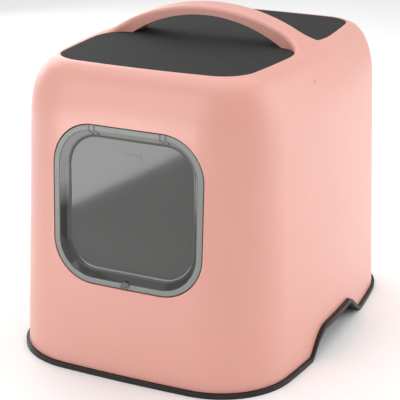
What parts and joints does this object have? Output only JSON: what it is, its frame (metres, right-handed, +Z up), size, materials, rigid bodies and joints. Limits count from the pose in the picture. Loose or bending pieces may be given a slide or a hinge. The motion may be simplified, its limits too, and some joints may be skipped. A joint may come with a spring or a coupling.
{
  "type": "cat litter box",
  "caption": "Hooded cat litter box: tray, bowed hood with an arched carrying handle, swinging see-through entry flap with a turn lock, and a top cover over a filter.",
  "frame": {"origin": "on the floor, under the middle of the tray", "axes": "+Z up, the entry flap faces -Y, +X across the box to the right of someone facing the flap"},
  "size_m": [0.39, 0.503, 0.428],
  "materials": {
    "tray_plastic": "satin",
    "hood_plastic": "satin",
    "cover_plastic": "fine grain",
    "smoky_plastic": "clear smoky, polished",
    "knob_plastic": "satin",
    "filter_felt": "felt",
    "steel": "plated"
  },
  "bodies": {
    "tray": {"tray": "tray_plastic"},
    "hood": {"hood": "hood_plastic", "hinge_bracket_left": "knob_plastic", "hinge_bracket_right": "knob_plastic", "bracket_screw_left": "steel", "bracket_screw_right": "steel", "flap_pin_left": "steel", "flap_pin_right": "steel"},
    "flap": {"flap": "smoky_plastic"},
    "lock": {"lock_knob": "knob_plastic", "lock_cam": "knob_plastic"},
    "cover": {"top_cover": "cover_plastic", "carbon_filter": "filter_felt", "grille_hinge_rod": "steel"},
    "grille": {"filter_grille": "cover_plastic"}
  },
  "joints": [
    {"name": "hood_lift", "type": "slide", "parent": "tray", "child": "hood", "axis": [0, 0, 1], "range_m": [0, 0.12]},
    {"name": "flap_swing", "type": "hinge", "parent": "hood", "child": "flap", "pos_m": [0, -0.23095, 0.31278], "axis": [1, 0, 0], "range_deg": [-55, 75]},
    {"name": "lock_turn", "type": "hinge", "parent": "flap", "child": "lock", "pos_m": [0, -0.23474, 0.12507], "axis": [0, 0.9991, -0.0426], "range_deg": [0, 90]},
    {"name": "cover_drop", "type": "slide", "parent": "hood", "child": "cover", "axis": [0, 0, -1], "range_m": [0, 0.025]},
    {"name": "grille_swing", "type": "hinge", "parent": "cover", "child": "grille", "pos_m": [0, 0.064, 0.3669], "axis": [1, 0, 0], "range_deg": [0, 75]}
  ]
}
